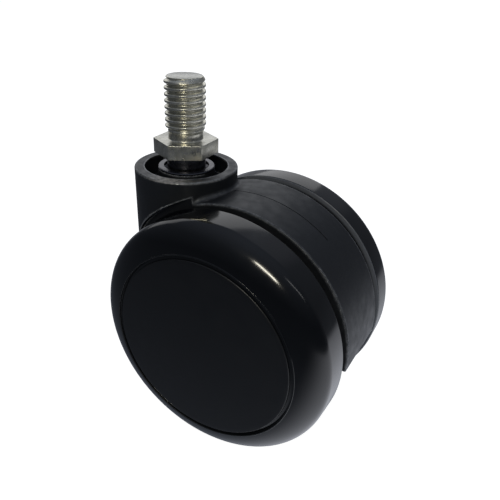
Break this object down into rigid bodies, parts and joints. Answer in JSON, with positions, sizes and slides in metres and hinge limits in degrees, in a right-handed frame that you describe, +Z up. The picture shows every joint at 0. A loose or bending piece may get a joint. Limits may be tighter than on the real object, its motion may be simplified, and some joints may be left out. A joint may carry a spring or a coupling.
{
  "type": "twin-wheel furniture caster",
  "caption": "Swivel furniture caster: twin hooded wheels on one axle, under an offset collar with a threaded steel stem.",
  "frame": {"origin": "on the stem's axis at the mounting shoulder, the upper face of the hexagon", "axes": "+Z up along the stem; +X from the stem towards the axle, the way the wheels trail; Y along the axle, with the left wheel at -Y, seen from behind the hood"},
  "size_m": [0.0643, 0.0494, 0.0878],
  "materials": {
    "zinc_steel": "bright zinc plate over forged and rolled steel",
    "spring_steel": "oiled hardened steel",
    "sleeve_steel": "turned steel, dark with oil",
    "axle_steel": "ground steel",
    "housing_nylon": "fine textured black nylon",
    "tread_gloss": "glossy black polyurethane",
    "cover_satin": "satin black nylon",
    "core_nylon": "black nylon",
    "bush_acetal": "natural acetal",
    "washer_nylon": "natural nylon"
  },
  "bodies": {
    "stem": {"threaded_stem": "zinc_steel", "snap_ring": "spring_steel"},
    "swivel": {"housing": "housing_nylon", "stem_sleeve": "sleeve_steel", "thrust_disc": "spring_steel", "axle": "axle_steel", "left_thrust_washer": "washer_nylon", "right_thrust_washer": "washer_nylon", "left_lock_washer": "spring_steel", "right_lock_washer": "spring_steel"},
    "left_wheel": {"left_tread": "tread_gloss", "left_wheel_core": "core_nylon", "left_wheel_cover": "cover_satin", "left_hub_bush": "bush_acetal"},
    "right_wheel": {"right_tread": "tread_gloss", "right_wheel_core": "core_nylon", "right_wheel_cover": "cover_satin", "right_hub_bush": "bush_acetal"}
  },
  "joints": [
    {"name": "swivel_turn", "type": "hinge", "parent": "stem", "child": "swivel", "pos_m": [0, 0, 0], "axis": [0, 0, 1], "continuous": true},
    {"name": "left_wheel_spin", "type": "hinge", "parent": "swivel", "child": "left_wheel", "pos_m": [0.02, -0.018, -0.0415], "axis": [0, 1, 0], "continuous": true},
    {"name": "right_wheel_spin", "type": "hinge", "parent": "swivel", "child": "right_wheel", "pos_m": [0.02, 0.018, -0.0415], "axis": [0, 1, 0], "continuous": true}
  ]
}
